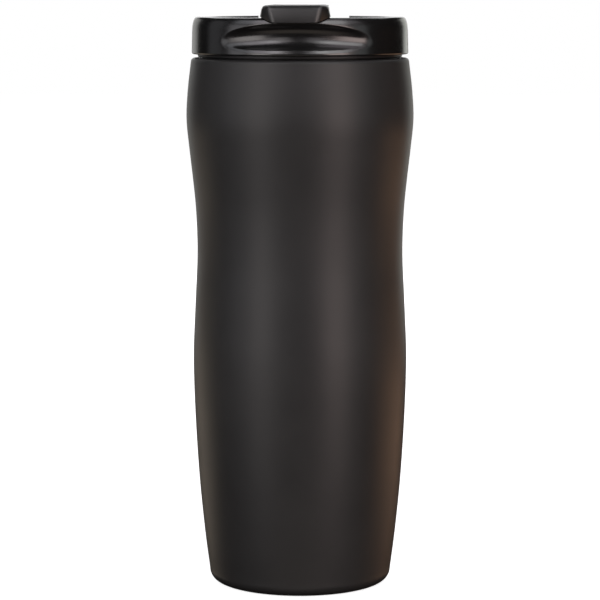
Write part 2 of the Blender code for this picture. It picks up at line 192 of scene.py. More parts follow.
def ovalPiece(name, centreY, halfX, halfY, low, high, segments=64):
    bpy.ops.mesh.primitive_cylinder_add(vertices=segments, radius=1, depth=high - low,
                                        location=(0, centreY, (low + high) / 2),
                                        scale=(halfX, halfY, 1))
    piece = bpy.context.object
    piece.name = piece.data.name = name
    applyPlace(piece)
    return piece


def rodPiece(name, y, z, radius, halfLength, segments=64):
    bpy.ops.mesh.primitive_cylinder_add(vertices=segments, radius=radius, depth=2 * halfLength,
                                        location=(0, y, z), rotation=(0, math.pi / 2, 0))
    piece = bpy.context.object
    piece.name = piece.data.name = name
    applyPlace(piece)
    return piece


def boolean(piece, other, operation):
    modifier = piece.modifiers.new("cut", "BOOLEAN")
    modifier.operation = operation
    modifier.solver = "EXACT"
    modifier.object = other
    applyModifiers(piece)
    bpy.data.objects.remove(other, do_unlink=True)


def bevelSharp(piece, width, segments=3, degrees=40):
    modifier = piece.modifiers.new("edges", "BEVEL")
    modifier.width = width
    modifier.segments = segments
    modifier.limit_method = "ANGLE"
    modifier.angle_limit = math.radians(degrees)
    modifier.harden_normals = False
    applyModifiers(piece)


def place(piece, body, slotName, *cadNodes):
    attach(piece, body)
    if cadNodes:
        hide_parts(*cadNodes)


# materials

def newMaterial(name):
    material = bpy.data.materials.new(name)
    material.use_nodes = True
    tree = material.node_tree
    return material, tree, tree.nodes["Principled BSDF"]


def noiseOf(tree, coordinates, scale, detail=3.0, roughness=0.55):
    noise = tree.nodes.new("ShaderNodeTexNoise")
    noise.inputs["Scale"].default_value = scale
    noise.inputs["Detail"].default_value = detail
    noise.inputs["Roughness"].default_value = roughness
    tree.links.new(coordinates, noise.inputs["Vector"])
    return noise.outputs["Fac"]


def rangeOf(tree, value, low, high):
    spread = tree.nodes.new("ShaderNodeMapRange")
    spread.inputs["From Min"].default_value = 0.3
    spread.inputs["From Max"].default_value = 0.7
    spread.inputs["To Min"].default_value = low
    spread.inputs["To Max"].default_value = high
    tree.links.new(value, spread.inputs["Value"])
    return spread.outputs["Result"]


def twoTone(tree, value, first, second):
    ramp = tree.nodes.new("ShaderNodeValToRGB")
    ramp.color_ramp.elements[0].position = 0.3
    ramp.color_ramp.elements[1].position = 0.7
    ramp.color_ramp.elements[0].color = (*first, 1)
    ramp.color_ramp.elements[1].color = (*second, 1)
    tree.links.new(value, ramp.inputs["Fac"])
    return ramp.outputs["Color"]


def bumpOf(tree, height, strength, distance, below=None):
    bump = tree.nodes.new("ShaderNodeBump")
    bump.inputs["Strength"].default_value = strength
    bump.inputs["Distance"].default_value = distance
    tree.links.new(height, bump.inputs["Height"])
    if below:
        tree.links.new(below, bump.inputs["Normal"])
    return bump.outputs["Normal"]


# rubbed patches near one height, where a piece is handled or stands
def rubbedEdge(tree, coordinates, colour, wear):
    split = tree.nodes.new("ShaderNodeSeparateXYZ")
    tree.links.new(coordinates, split.inputs["Vector"])
    away = tree.nodes.new("ShaderNodeMath")
    away.operation = "SUBTRACT"
    away.inputs[1].default_value = wear["height"]
    tree.links.new(split.outputs["Z"], away.inputs[0])
    apart = tree.nodes.new("ShaderNodeMath")
    apart.operation = "ABSOLUTE"
    tree.links.new(away.outputs["Value"], apart.inputs[0])
    near = tree.nodes.new("ShaderNodeMapRange")
    near.inputs["From Max"].default_value = wear["reach"]
    near.inputs["To Min"].default_value = wear["strength"]
    near.inputs["To Max"].default_value = 0.0
    tree.links.new(apart.outputs["Value"], near.inputs["Value"])
    patches = noiseOf(tree, coordinates, wear["patchScale"], 5, 0.7)
    rubbed = tree.nodes.new("ShaderNodeMath")
    rubbed.operation = "MULTIPLY"
    tree.links.new(near.outputs["Result"], rubbed.inputs[0])
    tree.links.new(rangeOf(tree, patches, 0.0, 1.0), rubbed.inputs[1])
    blend = tree.nodes.new("ShaderNodeMixRGB")
    blend.inputs["Color2"].default_value = (*wear["tone"], 1)
    tree.links.new(rubbed.outputs["Value"], blend.inputs["Fac"])
    tree.links.new(colour, blend.inputs["Color1"])
    return blend.outputs["Color"]


# paint, plastic, rubber and foam: two close tones, uneven gloss and a fine surface
def mottledMaterial(name, look):
    material, tree, shader = newMaterial(name)
    coordinates = tree.nodes.new("ShaderNodeTexCoord").outputs["Object"]
    broad = noiseOf(tree, coordinates, look["patchScale"], 4)
    fine = noiseOf(tree, coordinates, look["grainScale"], 3)
    colour = twoTone(tree, broad, look["dark"], look["light"])
    if "wear" in look:
        colour = rubbedEdge(tree, coordinates, colour, look["wear"])
    tree.links.new(colour, shader.inputs["Base Color"])
    tree.links.new(rangeOf(tree, broad, *look["gloss"]), shader.inputs["Roughness"])
    first = bumpOf(tree, fine, look["grain"], look["grainDepth"])
    if "waveScale" in look:
        wave = noiseOf(tree, coordinates, look["waveScale"], 1)
        first = bumpOf(tree, wave, look["wave"], look["waveDepth"], first)
    tree.links.new(first, shader.inputs["Normal"])
    shader.inputs["Specular IOR Level"].default_value = look.get("specular", 0.5)
    return material


# steel spun or brushed round the axis: fine rings that vary in height and across the radius
def turnedSteel(name, look):
    material, tree, shader = newMaterial(name)
    coordinates = tree.nodes.new("ShaderNodeTexCoord").outputs["Object"]
    split = tree.nodes.new("ShaderNodeSeparateXYZ")
    tree.links.new(coordinates, split.inputs["Vector"])
    flat = tree.nodes.new("ShaderNodeCombineXYZ")
    tree.links.new(split.outputs["X"], flat.inputs["X"])
    tree.links.new(split.outputs["Y"], flat.inputs["Y"])
    reach = tree.nodes.new("ShaderNodeVectorMath")
    reach.operation = "LENGTH"
    tree.links.new(flat.outputs["Vector"], reach.inputs[0])
    rings = tree.nodes.new("ShaderNodeCombineXYZ")
    tree.links.new(reach.outputs["Value"], rings.inputs["X"])
    tree.links.new(split.outputs["Z"], rings.inputs["Y"])
    lines = noiseOf(tree, rings.outputs["Vector"], look["lineScale"], 5, 0.7)
    patches = noiseOf(tree, coordinates, look["patchScale"], 3)
    tree.links.new(twoTone(tree, lines, look["dark"], look["light"]), shader.inputs["Base Color"])
    tree.links.new(rangeOf(tree, patches, *look["gloss"]), shader.inputs["Roughness"])
    tree.links.new(bumpOf(tree, lines, look["line"], look["lineDepth"]), shader.inputs["Normal"])
    shader.inputs["Metallic"].default_value = 1.0
    return material


# dark and light are the two tones, gloss the range of roughness; scales are per metre
finishes = {
    "powderCoat": {
        "dark": (0.024, 0.024, 0.0245), "light": (0.030, 0.0298, 0.030), "patchScale": 28,
        "gloss": (0.40, 0.46), "grainScale": 2600, "grain": 0.10, "grainDepth": 0.05 * mm,
        "waveScale": 420, "wave": 0.04, "waveDepth": 0.15 * mm,
        "wear": {"height": cadLow.z, "reach": 1.2 * mm, "strength": 0.7, "patchScale": 240,
                 "tone": (0.09, 0.088, 0.086)}},
    "lidGloss": {
        "dark": (0.0080, 0.0080, 0.0082), "light": (0.0100, 0.0100, 0.0102), "patchScale": 40,
        "gloss": (0.19, 0.25), "grainScale": 1500, "grain": 0.03, "grainDepth": 0.03 * mm,
        "waveScale": 160, "wave": 0.02, "waveDepth": 0.2 * mm, "specular": 1.0,
        "wear": {"height": 195.2 * mm, "reach": 0.5 * mm, "strength": 0.6, "patchScale": 300,
                 "tone": (0.022, 0.022, 0.0225)}},
    "leverPlastic": {
        "dark": (0.0080, 0.0080, 0.0083), "light": (0.0105, 0.0105, 0.0108), "patchScale": 50,
        "gloss": (0.34, 0.42), "grainScale": 2200, "grain": 0.10, "grainDepth": 0.04 * mm,
        "specular": 1.0,
        "wear": {"height": cadHigh.z, "reach": 0.7 * mm, "strength": 0.8, "patchScale": 400,
                 "tone": (0.030, 0.030, 0.031)}},
    "coreMatte": {
        "dark": (0.013, 0.013, 0.0135), "light": (0.018, 0.018, 0.0185), "patchScale": 60,
        "gloss": (0.42, 0.55), "grainScale": 1800, "grain": 0.15, "grainDepth": 0.05 * mm},
    "holderMatte": {
        "dark": (0.040, 0.040, 0.041), "light": (0.050, 0.050, 0.051), "patchScale": 60,
        "gloss": (0.40, 0.52), "grainScale": 1800, "grain": 0.15, "grainDepth": 0.05 * mm},
    "silicone": {
        "dark": (0.050, 0.050, 0.052), "light": (0.062, 0.062, 0.064), "patchScale": 80,
        "gloss": (0.55, 0.70), "grainScale": 3000, "grain": 0.2, "grainDepth": 0.04 * mm},
    "plugSilicone": {
        "dark": (0.085, 0.085, 0.09), "light": (0.10, 0.10, 0.106), "patchScale": 80,
        "gloss": (0.50, 0.66), "grainScale": 3000, "grain": 0.2, "grainDepth": 0.04 * mm},
    "foamWhite": {
        "dark": (0.70, 0.70, 0.68), "light": (0.82, 0.82, 0.80), "patchScale": 300,
        "gloss": (0.85, 0.95), "grainScale": 900, "grain": 0.4, "grainDepth": 0.2 * mm},
    "getterGrey": {
        "dark": (0.12, 0.12, 0.125), "light": (0.18, 0.18, 0.185), "patchScale": 500,
        "gloss": (0.65, 0.85), "grainScale": 2500, "grain": 0.4, "grainDepth": 0.1 * mm},
}
metals = {
    "brushedCup": {
        "dark": (0.50, 0.50, 0.51), "light": (0.62, 0.62, 0.63), "lineScale": 2600,
        "patchScale": 30, "gloss": (0.24, 0.36), "line": 0.25, "lineDepth": 0.03 * mm},
    "spunBase": {
        "dark": (0.46, 0.46, 0.47), "light": (0.62, 0.62, 0.63), "lineScale": 1500,
        "patchScale": 40, "gloss": (0.22, 0.34), "line": 0.35, "lineDepth": 0.04 * mm},
    "pinSteel": {
        "dark": (0.55, 0.55, 0.56), "light": (0.66, 0.66, 0.67), "lineScale": 3000,
        "patchScale": 200, "gloss": (0.18, 0.28), "line": 0.2, "lineDepth": 0.02 * mm},
    "solderGrey": {
        "dark": (0.45, 0.45, 0.44), "light": (0.60, 0.60, 0.58), "lineScale": 800,
        "patchScale": 400, "gloss": (0.35, 0.5), "line": 0.3, "lineDepth": 0.05 * mm},
}
materials = {name: mottledMaterial(name, look) for name, look in finishes.items()}
materials.update({name: turnedSteel(name, look) for name, look in metals.items()})
print("materials made:", len(materials))


def paint(piece, name):
    piece.data.materials.clear()
    piece.data.materials.append(materials[name])


# the painted wall

shellLow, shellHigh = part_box("outer_shell")
wall = {"segments": 192, "rings": 110, "inside": 0.01 * mm, "thickness": 0.6 * mm,
        "lipInner": 35.0 * mm, "lipCorner": 1.3 * mm, "footCorner": 4.0 * mm, "collar": 24.0 * mm,
        "collarTop": 4.2 * mm, "shoulderLeast": 30 * mm}


# (height, radius) of the outward rings of a turned node, low to high
def outerRings(node):
    mesh = nodes[node].data
    rings = {}
    for face in mesh.polygons:
        out = Vector((face.center.x, face.center.y, 0)).normalized()
        if face.normal.dot(out) < 0.2:
            continue
        for index in face.vertices:
            co = mesh.vertices[index].co
            key = round(co.z / (0.02 * mm))
            rings[key] = max(rings.get(key, (0, 0)), (math.hypot(co.x, co.y), co.z))
    return sorted((z, r) for r, z in rings.values())


def smoothRadius(stations, height):
    last = len(stations) - 1
    index = 0
    while index < last - 1 and stations[index + 1][0] <= height:
        index += 1
    before, start = stations[max(index - 1, 0)], stations[index]
    end, after = stations[index + 1], stations[min(index + 2, last)]
    span = end[0] - start[0]
    slopeIn = (end[1] - before[1]) / (end[0] - before[0])
    slopeOut = (after[1] - start[1]) / (after[0] - start[0])
    t = (height - start[0]) / span
    return ((2 * t**3 - 3 * t**2 + 1) * start[1] + (t**3 - 2 * t**2 + t) * span * slopeIn
            + (3 * t**2 - 2 * t**3) * end[1] + (t**3 - t**2) * span * slopeOut)


def makePaintedWall():
    corner, lip, thick = wall["footCorner"], wall["lipCorner"], wall["thickness"]
    low, high = shellLow.z + corner, shellHigh.z - lip
    near = 0.01 * mm
    stations = [(z, r) for z, r in outerRings("outer_shell")
                if low - near < z < high + near and r > wall["shoulderLeast"]]
    count = wall["rings"]
    heights = [low + (high - low) * i / count for i in range(count + 1)]
    side = [(smoothRadius(stations, z) - wall["inside"], z) for z in heights]
    footX = side[0][0] - corner
    lipX = side[-1][0] - lip
    outline = [(wall["collar"] + 0.8 * mm, shellLow.z), (footX - 0.4 * mm, shellLow.z)]
    outline += arcPoints(footX, shellLow.z + corner, corner, -90, 0, 12) + side[1:]
    outline += arcPoints(lipX, high, lip, 0, 90, 8)[1:]
    outline += [(wall["lipInner"], shellHigh.z), (wall["lipInner"], shellHigh.z - thick)]
    outline += [(lipX, shellHigh.z - thick)]
    outline += [(r - thick, z) for r, z in reversed(side[::6])]
    outline += arcPoints(footX, shellLow.z + corner, corner - thick, 0, -90, 5)[1:]
    collar = wall["collar"]
    outline += [(collar + thick, shellLow.z + thick), (collar + thick, wall["collarTop"])]
    outline += [(collar, wall["collarTop"]), (collar, shellLow.z + 0.5 * mm)]
    outline += [(collar + 0.3 * mm, shellLow.z + 0.1 * mm)]
    piece = turnPiece("painted_wall", outline, wall["segments"])
    smoothShade(piece, 40)
    paint(piece, "powderCoat")
    place(piece, "tumbler", "powder_coat", "outer_shell")


makePaintedWall()
print("painted wall done")


# the steel cup

linerLow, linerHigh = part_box("inner_liner")
cup = {"segments": 160, "thickness": 0.5 * mm, "floorThickness": 0.7 * mm, "corner": 7.0 * mm,
       "topRadius": 32.3 * mm, "bottomRadius": 30.0 * mm, "stepTop": 168.0 * mm,
       "stepLow": 154.0 * mm, "stepRings": 14, "lipRoll": 0.25 * mm}


def makeSteelCup():
    thick, corner = cup["thickness"], cup["corner"]
    mouth = linerHigh.x - thick
    floor = linerLow.z + cup["floorThickness"]
    cornerX, cornerZ = cup["bottomRadius"] - corner, floor + corner
    inside = [(pole, floor)] + linePoints((pole, floor), (cornerX, floor), 6)
    inside += arcPoints(cornerX, cornerZ, corner, -90, 0, 10)[1:]
    inside += linePoints(inside[-1], (cup["topRadius"], cup["stepLow"]), 12)
    for i in range(1, cup["stepRings"] + 1):
        share = i / cup["stepRings"]
        blend = share * share * (3 - 2 * share)  # eases in and out of the step
        inside.append((cup["topRadius"] + (mouth - cup["topRadius"]) * blend,
                       cup["stepLow"] + (cup["stepTop"] - cup["stepLow"]) * share))
    inside += linePoints(inside[-1], (mouth, linerHigh.z - 0.5 * mm), 4)
    roll = cup["lipRoll"]
    inside += arcPoints(mouth + roll, linerHigh.z - roll, roll, 180, 90, 4)
    outline = inside + arcPoints(linerHigh.x - roll, linerHigh.z - roll, roll, 90, 0, 4)
    outline += [(r + thick, z) for r, z in reversed(inside[17:-6:3])]
    outline += arcPoints(cornerX, cornerZ, corner + thick, 0, -90, 8)
    outline += [(pole, linerLow.z)]
    piece = turnPiece("steel_cup", outline, cup["segments"], ends="caps")
    smoothShade(piece, 40)
    paint(piece, "brushedCup")
    place(piece, "tumbler", "steel", "inner_liner")


makeSteelCup()
print("steel cup done")


# the base

coverLow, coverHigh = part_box("base_cover")
base = {"segments": 128, "edge": 0.4 * mm, "ringInner": 8.0 * mm, "ringOuter": 21.6 * mm,
        "step": 0.5 * mm, "sheet": 1.0 * mm}


def makeBaseCover():
    radius, low, step = coverHigh.x, coverLow.z, base["step"]
    inner, sheet, turn = base["ringInner"], base["sheet"], 2 * base["edge"]
    outline = [(0.3 * mm, low + step), (inner, low + step)]
    outline += [(inner + 0.3 * mm, low + step * 0.85), (inner + 0.6 * mm, low + step * 0.15)]
    outline += [(inner + 0.9 * mm, low)]
    outline += linePoints((inner + 0.9 * mm, low), (base["ringOuter"], low), 8)
    outline += arcPoints(radius - turn, low + turn, turn, -90, 0, 6)
    outline += [(radius, coverHigh.z), (radius - sheet, coverHigh.z)]
    outline += [(radius - 1.6 * sheet, low + sheet), (0.3 * mm, low + step + sheet * 0.8)]
    piece = turnPiece("spun_base", outline, base["segments"], ends="caps")
    smoothShade(piece, 40)
    paint(piece, "spunBase")
    place(piece, "tumbler", "steel_base", "base_cover")


makeBaseCover()
print("base done")


# the lid's cover

capLow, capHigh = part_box("lid_cap")
coreLow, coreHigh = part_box("lid_core")
pinLow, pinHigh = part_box("hinge_pin")
hinge = {"y": (pinLow.y + pinHigh.y) / 2, "z": (pinLow.z + pinHigh.z) / 2,
         "pinRadius": (pinHigh.z - pinLow.z) / 2, "halfLength": pinHigh.x}


def hingeRod(name, radius, halfLength, segments=64):
    return rodPiece(name, hinge["y"], hinge["z"], radius, halfLength, segments)


# top of the lid's rim, which the hinge block stands above
def rimHeight():
    outer = [v.co for v in nodes["lid_cap"].data.vertices
             if math.hypot(v.co.x, v.co.y) > 0.8 * capHigh.x]
    return max(co.z for co in outer)


lid = {"segments": 384, "radius": capHigh.x + 0.2 * mm, "low": capLow.z + 0.3 * mm,
       "top": rimHeight(), "draft": 0.15 * mm, "brow": (1.6 * mm, 4.5 * mm), "edge": 0.6 * mm,
       "ringStep": 0.16 * mm, "deckDrop": 3.0 * mm, "deckRadius": 29.4 * mm, "deckTurn": 0.8 * mm,
       "rimInner": 31.4 * mm, "seat": coreHigh.x + 0.3 * mm, "seatTop": 183.9 * mm,
       "pocket": 30.4 * mm, "pocketTop": coreHigh.z + 0.3 * mm,
       "channelHalf": 12.2 * mm, "channelFloor": 190.2 * mm, "channelFront": 30.6 * mm,
       "notchHalf": 16.0 * mm, "notchStart": 24.0 * mm}
scoop = {"sweep": 48.0 * mm, "radius": 4.9 * mm, "tipRadius": 3.6 * mm, "tipAngle": 43,
         "standoff": 1.75 * mm, "height": 189.05 * mm, "tilt": 11.2, "fillet": 0.6 * mm,
         "steepest": 0.97, "lipLean": 21, "lipHeight": 1.0 * mm}
holes = {"drinkY": sum(v.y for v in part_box("drink_seal")) / 2, "drinkHalf": (7.5 * mm, 3.8 * mm),
         "ventY": sum(v.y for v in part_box("vent_seal")) / 2, "ventRadius": 1.4 * mm}
block = {"half": 6.8 * mm, "radius": 3.6 * mm, "bore": hinge["pinRadius"] + 0.15 * mm}


# the smaller of two, rounded off where they come within reach of each other
def softMin(a, b, reach):
    blend = max(reach - abs(a - b), 0) / reach
    return min(a, b) - blend * blend * reach / 4


# where the scoop lies at an angle from the front: the axis of its hollow, and the hollow's radius
def scoopAxis(angle):
    centre = scoop["sweep"] - lid["radius"] - scoop["standoff"]
    along = math.cos(angle)
    reach = -centre * along + math.sqrt(scoop["sweep"]**2 - (centre * math.sin(angle))**2)
    back = lid["radius"] + scoop["standoff"] - reach * along
    middle = scoop["height"] - math.tan(math.radians(scoop["tilt"])) * back
    outward = abs(angle) / math.radians(scoop["tipAngle"])
    hollow = max(scoop["radius"] - (scoop["radius"] - scoop["tipRadius"]) * outward**3, 1 * mm)
    return reach, middle, hollow


# how far from the axis of the lid the scoop's surface lies
def scoopRadius(angle, height):
    reach, middle, hollow = scoopAxis(angle)
    drop = abs(height - middle) / hollow
    steepest = scoop["steepest"]  # past this share of the hollow its wall runs on straight
    if drop < steepest:
        return reach - hollow * math.sqrt(1 - drop * drop)
    slope = steepest / math.sqrt(1 - steepest**2)
    return reach - hollow * (math.sqrt(1 - steepest**2) - slope * (drop - steepest))


# the lower lip of the scoop leans back before it turns into the hollow
def lipRadius(angle, height):
    reach, middle, hollow = scoopAxis(angle)
    inset = (reach - lid["radius"]) / hollow
    if inset > scoop["steepest"] or height > middle:
        return 1.0  # no lip here, so nothing is held in
    span = math.sqrt(1 - max(inset, 0)**2)
    rise = scoop["lipHeight"] * span
    climbed = min(max(height - (middle - hollow * span - rise), 0), rise)
    lean = math.tan(math.radians(scoop["lipLean"]))
    return lid["radius"] - lean * climbed * span


# moves the points of the lid's side in, one by one, to the scoop's surface
def pressScoop(piece):
    for vert in piece.data.vertices:
        x, y, z = vert.co
        radius = math.hypot(x, y)
        if y > -0.4 * lid["radius"] or radius < lid["seat"] or z < lid["low"] + lid["edge"] / 2:
            continue
        angle = math.atan2(x, -y)
        pressed = softMin(radius, scoopRadius(angle, z), scoop["fillet"])
        pressed = min(pressed, lipRadius(angle, z))
        vert.co.x *= pressed / radius
        vert.co.y *= pressed / radius


def makeLidCover():
    radius, top, low, edge = lid["radius"], lid["top"], lid["low"], lid["edge"]
    deck, turn, seat = top - lid["deckDrop"], lid["deckTurn"], lid["seat"]
    browWidth, browHeight = lid["brow"]
    browX, browZ = radius - lid["draft"] - browWidth, top - browHeight
    outline = [(pole, deck), (lid["deckRadius"] - 0.5 * mm, deck), (lid["deckRadius"], deck)]
    outline += arcPoints(lid["deckRadius"], deck + turn, turn, -90, -30, 4)[1:]
    outline += [(lid["rimInner"] - 0.75 * mm, top - 0.9 * mm)]
    outline += arcPoints(lid["rimInner"], top - turn, turn, 150, 90, 4)
    outline += [(browX + x * browWidth, browZ + z * browHeight)
                for x, z in arcPoints(0, 0, 1, 90, 0, 40)]
    sideLow = low + edge
    rings = int((browZ - sideLow) / lid["ringStep"])
    outline += linePoints((radius - lid["draft"], browZ), (radius, sideLow), rings)
    outline += arcPoints(radius - edge, low + edge, edge, 0, -90, 6)[1:]
    outline += [(seat + 0.2 * mm, low), (seat, low + 0.2 * mm), (seat, lid["seatTop"])]
    outline += [(lid["pocket"], lid["seatTop"]), (lid["pocket"], lid["pocketTop"])]
    outline += [(pole, lid["pocketTop"])]
    piece = turnPiece("lid_cover", outline, lid["segments"], ends="caps")
    pressScoop(piece)
    above, behind = top + 6 * mm, radius + 4 * mm
    half, channelFloor = lid["channelHalf"], lid["channelFloor"]
    channel = boxPiece("channelCutter", (-half, -lid["channelFront"], channelFloor),
                       (half, behind, above))
    startEdit(channel, "EDGE")
    pickEdges(channel, lambda a, b: a.y < 0 and b.y < 0 and abs(a.z - b.z) > 1 * mm)
    bpy.ops.mesh.bevel(offset=1.5 * mm, segments=5)
    endEdit()
    boolean(piece, channel, "DIFFERENCE")
    notch = boxPiece("notchCutter", (-lid["notchHalf"], lid["notchStart"], channelFloor),
                     (lid["notchHalf"], behind, above))
    boolean(piece, notch, "DIFFERENCE")
    under = lid["pocketTop"] - 2 * mm
    drink = ovalPiece("drinkCutter", holes["drinkY"], *holes["drinkHalf"], under, above)
    boolean(piece, drink, "DIFFERENCE")
    ventRadius = holes["ventRadius"]
    vent = ovalPiece("ventCutter", holes["ventY"], ventRadius, ventRadius, under, above, 32)
    boolean(piece, vent, "DIFFERENCE")
    post = boxPiece("hingePost", (-block["half"], -block["radius"], channelFloor - 1 * mm),
                    (block["half"], block["radius"], hinge["z"]))
    boolean(post, hingeRod("hingeRound", block["radius"], block["half"], 48), "UNION")
    boolean(piece, post, "UNION")
    boolean(piece, hingeRod("pinCutter", block["bore"], block["half"] + 2 * mm, 32), "DIFFERENCE")
    tidyNormals(piece)
    smoothShade(piece, 32)
    paint(piece, "lidGloss")
    place(piece, "lid", "lid_gloss", "lid_cap")


makeLidCover()
print("lid cover done")


# the lever

leverLow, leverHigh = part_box("flip_lever")
lever = {"half": leverHigh.x, "front": leverLow.y, "top": leverHigh.z, "tipLow": 193.75 * mm,
         "rearHalf": 10.0 * mm, "tipHalf": 7.7 * mm, "tipTopHalf": 9.3 * mm, "lean": 1.0 * mm,
         "taperStart": 33.4 * mm, "sideLow": 195.6 * mm, "sideLean": 0.93, "edge": 1.5 * mm,
         "deepFront": 30.2 * mm, "deepLow": 191.0 * mm, "barrel": 4.2 * mm,
         "pocketHalf": 9.6 * mm, "pocketRear": 8.2 * mm, "pocketFront": 28.9 * mm,
         "pocketBack": 5.6 * mm, "roof": 197.2 * mm, "clearance": 0.35 * mm, "soft": 0.25 * mm}


# what the lever is cut by, so that its underside clears the lid
def lidEnvelope():
    clear = lever["clearance"]
    wide, tall = lid["brow"][0] + clear, lid["brow"][1] + clear
    browX, browZ = lid["radius"] - lid["brow"][0], lid["top"] - lid["brow"][1]
    outline = [(0.5 * mm, browZ + tall)]
    outline += [(browX + x * wide, browZ + z * tall) for x, z in arcPoints(0, 0, 1, 90, 0, 20)]
    outline += [(browX + wide, lid["low"]), (0.5 * mm, lid["low"])]
    return turnPiece("lidEnvelope", outline, 256, ends="caps")


def scaleAcross(share):
    bpy.ops.transform.resize(value=(share, 1, 1), center_override=(0, 0, 0))


def makeLever():
    half, rear, near = lever["half"], lever["rearHalf"], 0.1 * mm
    front, top, taper = lever["front"], lever["top"], lever["taperStart"]
    slope = (half - rear) / taper
    piece = wedgePiece("flip_lever_body", half, front, rear, 0, lever["tipLow"], top)
    startEdit(piece)
    bpy.ops.mesh.select_all(action="SELECT")
    bpy.ops.mesh.bisect(plane_co=(0, -taper, 0), plane_no=(0, 1, 0))
    pickVerts(piece, lambda co: abs(co.y + taper) < near)
    scaleAcross(half / (half - slope * (-front - taper)))
    pickVerts(piece, lambda co: (front + near < co.y < near - taper
                                 and co.z < lever["tipLow"] + near))
    bpy.ops.transform.translate(value=(0, 0, lever["sideLow"] - lever["tipLow"]))
    pickVerts(piece, lambda co: front + near < co.y < -1 * mm and co.z > top - near)
    scaleAcross(lever["sideLean"])
    pickVerts(piece, lambda co: co.y < front + near)
    scaleAcross(lever["tipHalf"] / half)
    pickVerts(piece, lambda co: co.y < front + near and co.z > top - near)
    scaleAcross(lever["tipTopHalf"] / lever["tipHalf"])
    bpy.ops.transform.translate(value=(0, lever["lean"], 0))

    # the rim of the top without its hinge end, and the upright edges of the tip
    def outerEdge(a, b):
        onTop = min(a.z, b.z) > top - near and min(a.y, b.y) < -1 * mm
        across = abs(a.y - b.y) < near and a.y > front + 2 * mm
        upright = abs(a.z - b.z) > 3 * mm and max(a.y, b.y) < -30 * mm
        return (onTop and not across) or upright

    bpy.ops.mesh.select_mode(type="EDGE")
    pickEdges(piece, outerEdge)
    bpy.ops.mesh.bevel(offset=lever["edge"], segments=6)
    endEdit()
    boolean(piece, lidEnvelope(), "DIFFERENCE")
    deepHalf = rear + slope * lever["deepFront"] - 0.2 * mm
    deep = wedgePiece("deepPart", deepHalf, -lever["deepFront"], rear - 0.2 * mm, 0.5 * mm,
                      lever["deepLow"], lid["top"] + 1 * mm)
    boolean(piece, deep, "UNION")
    boolean(piece, hingeRod("barrel", lever["barrel"], rear - 0.3 * mm), "UNION")
    under = lever["deepLow"] - 2 * mm
    hollow = wedgePiece("pocketCutter", lever["pocketHalf"], -lever["pocketFront"],
                        lever["pocketRear"], 0.5 * mm - lever["pocketBack"], under, lever["roof"])
    boolean(piece, hollow, "DIFFERENCE")
    slot = block["half"] + 0.3 * mm
    fork = boxPiece("forkCutter", (-slot, -lever["pocketBack"], under),
                    (slot, lever["barrel"] + 2 * mm, top + 2 * mm))
    boolean(piece, fork, "DIFFERENCE")
    boolean(piece, hingeRod("boreCutter", block["bore"], half + 2 * mm, 32), "DIFFERENCE")
    tidyNormals(piece)
    bevelSharp(piece, lever["soft"], 2, 50)
    smoothShade(piece, 40)
    paint(piece, "leverPlastic")
    place(piece, "lever", "lever_black", "flip_lever")


makeLever()
print("lever done")


# the plug under the lid, with its seal

sealLow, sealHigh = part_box("lid_seal")
plug = {"segments": 160, "radius": 33.0 * mm, "low": coreLow.z, "top": coreHigh.z,
        "corner": 2.0 * mm, "groove": (172.4 * mm, 178.0 * mm), "grooveRadius": 31.4 * mm,
        "seatLow": 181.6 * mm, "seatTop": 183.6 * mm, "pocket": 30.1 * mm, "cavity": 28.0 * mm,
        "floor": 2.2 * mm, "tubeWall": 1.6 * mm, "soft": 0.3 * mm}
ring = {"waist": 0.2 * mm, "lips": (1.45 * mm, 3.65 * mm), "lipHalf": 0.25 * mm,
        "lipRoot": 0.8 * mm}


def makePlug():
    soft, radius, seat = plug["soft"], plug["radius"], coreHigh.x
    low, top = plug["low"], plug["top"]
    grooveLow, grooveTop = plug["groove"]
    cornerX = radius - plug["corner"]
    outline = [(pole, low)] + linePoints((pole, low), (cornerX, low), 4)
    outline += arcPoints(cornerX, low + plug["corner"], plug["corner"], -90, 0, 10)[1:]
    outline += [(radius, grooveLow - soft), (radius - soft, grooveLow)]
    outline += [(plug["grooveRadius"], grooveLow), (plug["grooveRadius"], grooveTop)]
    outline += [(radius - soft, grooveTop), (radius, grooveTop + soft), (radius, plug["seatLow"])]
    outline += [(seat - soft, plug["seatLow"]), (seat, plug["seatLow"] + soft)]
    outline += [(seat, plug["seatTop"] - soft), (seat - soft, plug["seatTop"])]
    outline += [(plug["pocket"], plug["seatTop"]), (plug["pocket"], top), (plug["cavity"], top)]
    outline += [(plug["cavity"], low + plug["floor"]), (pole, low + plug["floor"])]
    piece = turnPiece("lid_plug", outline, plug["segments"], ends="caps")
    drinkX, drinkY = holes["drinkHalf"]
    vent, wide, tubeLow = holes["ventRadius"], plug["tubeWall"], low + 0.5 * mm
    under, above = tubeLow - 3 * mm, top + 2 * mm
    drinkTube = ovalPiece("drinkTube", holes["drinkY"], drinkX + wide, drinkY + wide, tubeLow, top)
    boolean(piece, drinkTube, "UNION")
    ventTube = ovalPiece("ventTube", holes["ventY"], vent + wide, vent + wide, tubeLow, top, 32)
    boolean(piece, ventTube, "UNION")
    drinkWay = ovalPiece("drinkWay", holes["drinkY"], drinkX, drinkY, under, above)
    boolean(piece, drinkWay, "DIFFERENCE")
    ventWay = ovalPiece("ventWay", holes["ventY"], vent, vent, under, above, 32)
    boolean(piece, ventWay, "DIFFERENCE")
    tidyNormals(piece)
    smoothShade(piece, 35)
    paint(piece, "coreMatte")
    place(piece, "lid", "lid_matte", "lid_core")


